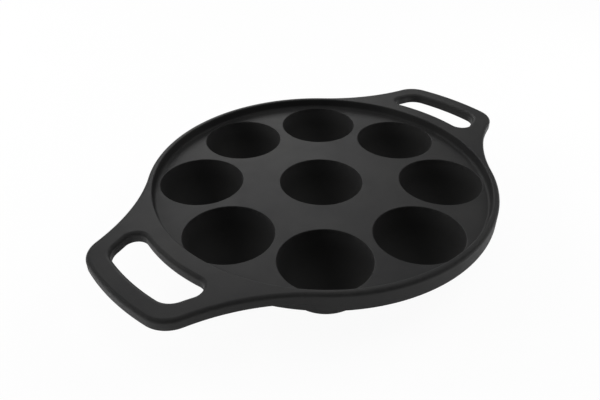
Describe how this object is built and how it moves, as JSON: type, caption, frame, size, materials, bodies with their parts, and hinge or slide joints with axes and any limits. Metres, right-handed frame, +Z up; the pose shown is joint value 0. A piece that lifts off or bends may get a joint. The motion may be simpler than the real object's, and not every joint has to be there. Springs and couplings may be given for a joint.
{
  "type": "paniyaram pan",
  "caption": "Round cast-iron pan with a ring of hemispherical cups about a middle one, a raised rim and two loop handles, for cooking ball-shaped dumplings.",
  "frame": {"origin": "middle of the pan on the plane of the cups' feet, which it stands on", "axes": "+X from the middle of the pan to the right handle, +Z up out of the cups"},
  "size_m": [0.3158, 0.2294, 0.0357],
  "materials": {
    "plate_iron": "seasoned, near black with a soft sheen and a fine sand-cast grain",
    "cup_iron": "seasoned, near black and smoother inside the bowls",
    "handle_iron": "seasoned, near black with a soft sheen and rounded edges"
  },
  "bodies": {
    "root": {"cooking_plate": "plate_iron", "cup_centre": "cup_iron", "cup_1": "cup_iron", "cup_2": "cup_iron", "cup_3": "cup_iron", "cup_4": "cup_iron", "cup_5": "cup_iron", "cup_6": "cup_iron", "cup_7": "cup_iron", "cup_8": "cup_iron", "handle_right": "handle_iron", "handle_left": "handle_iron"}
  },
  "joints": []
}
